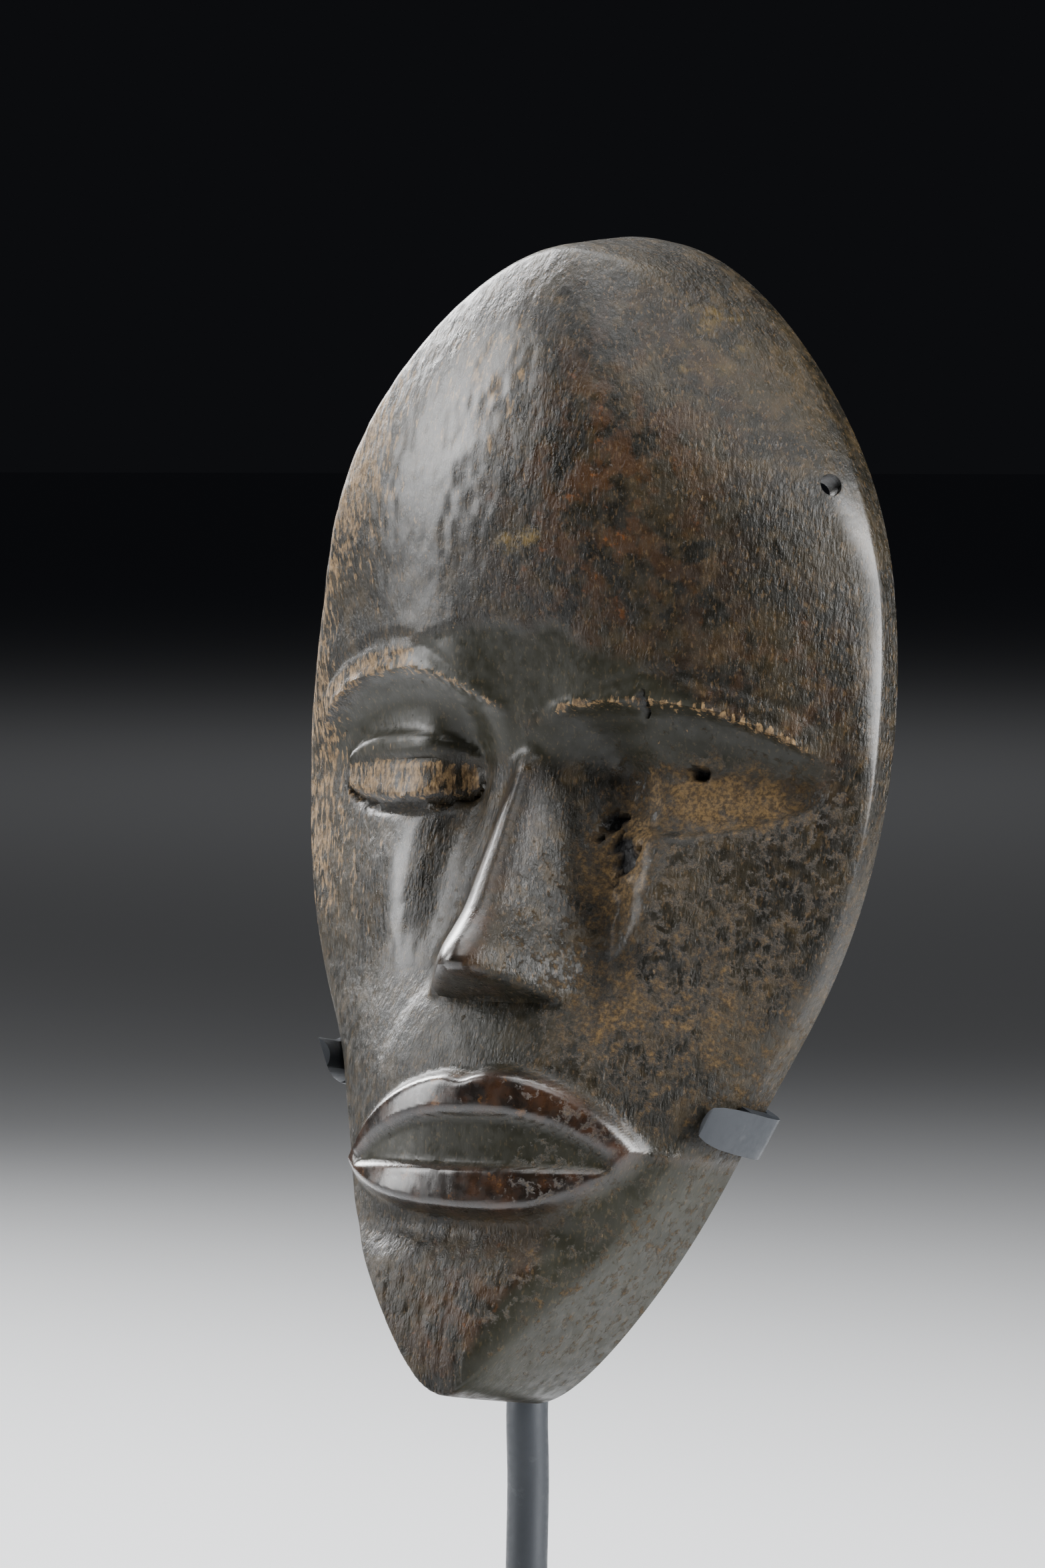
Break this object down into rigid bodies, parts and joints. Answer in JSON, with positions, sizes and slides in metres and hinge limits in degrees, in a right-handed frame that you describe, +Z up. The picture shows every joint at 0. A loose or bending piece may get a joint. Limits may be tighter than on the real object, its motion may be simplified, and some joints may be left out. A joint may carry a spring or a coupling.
{
  "type": "carved wooden face mask on a display stand",
  "caption": "Oval carved wooden face mask, hollow at the back, held by a bent steel rod with two jaw hooks on a square foot.",
  "frame": {"origin": "middle of the underside of the stand's square foot", "axes": "+Z up, the mask looks along -Y, +X is the mask's side at the viewer's right"},
  "size_m": [0.096, 0.076, 0.2278],
  "materials": {
    "wood": "hand carved hardwood with a dark oiled patina, worn, satin to gloss",
    "painted_steel": "matt dark grey paint"
  },
  "bodies": {
    "root": {"mask": "wood", "right_arm": "painted_steel", "left_arm": "painted_steel", "rod": "painted_steel", "foot": "painted_steel"}
  },
  "joints": []
}
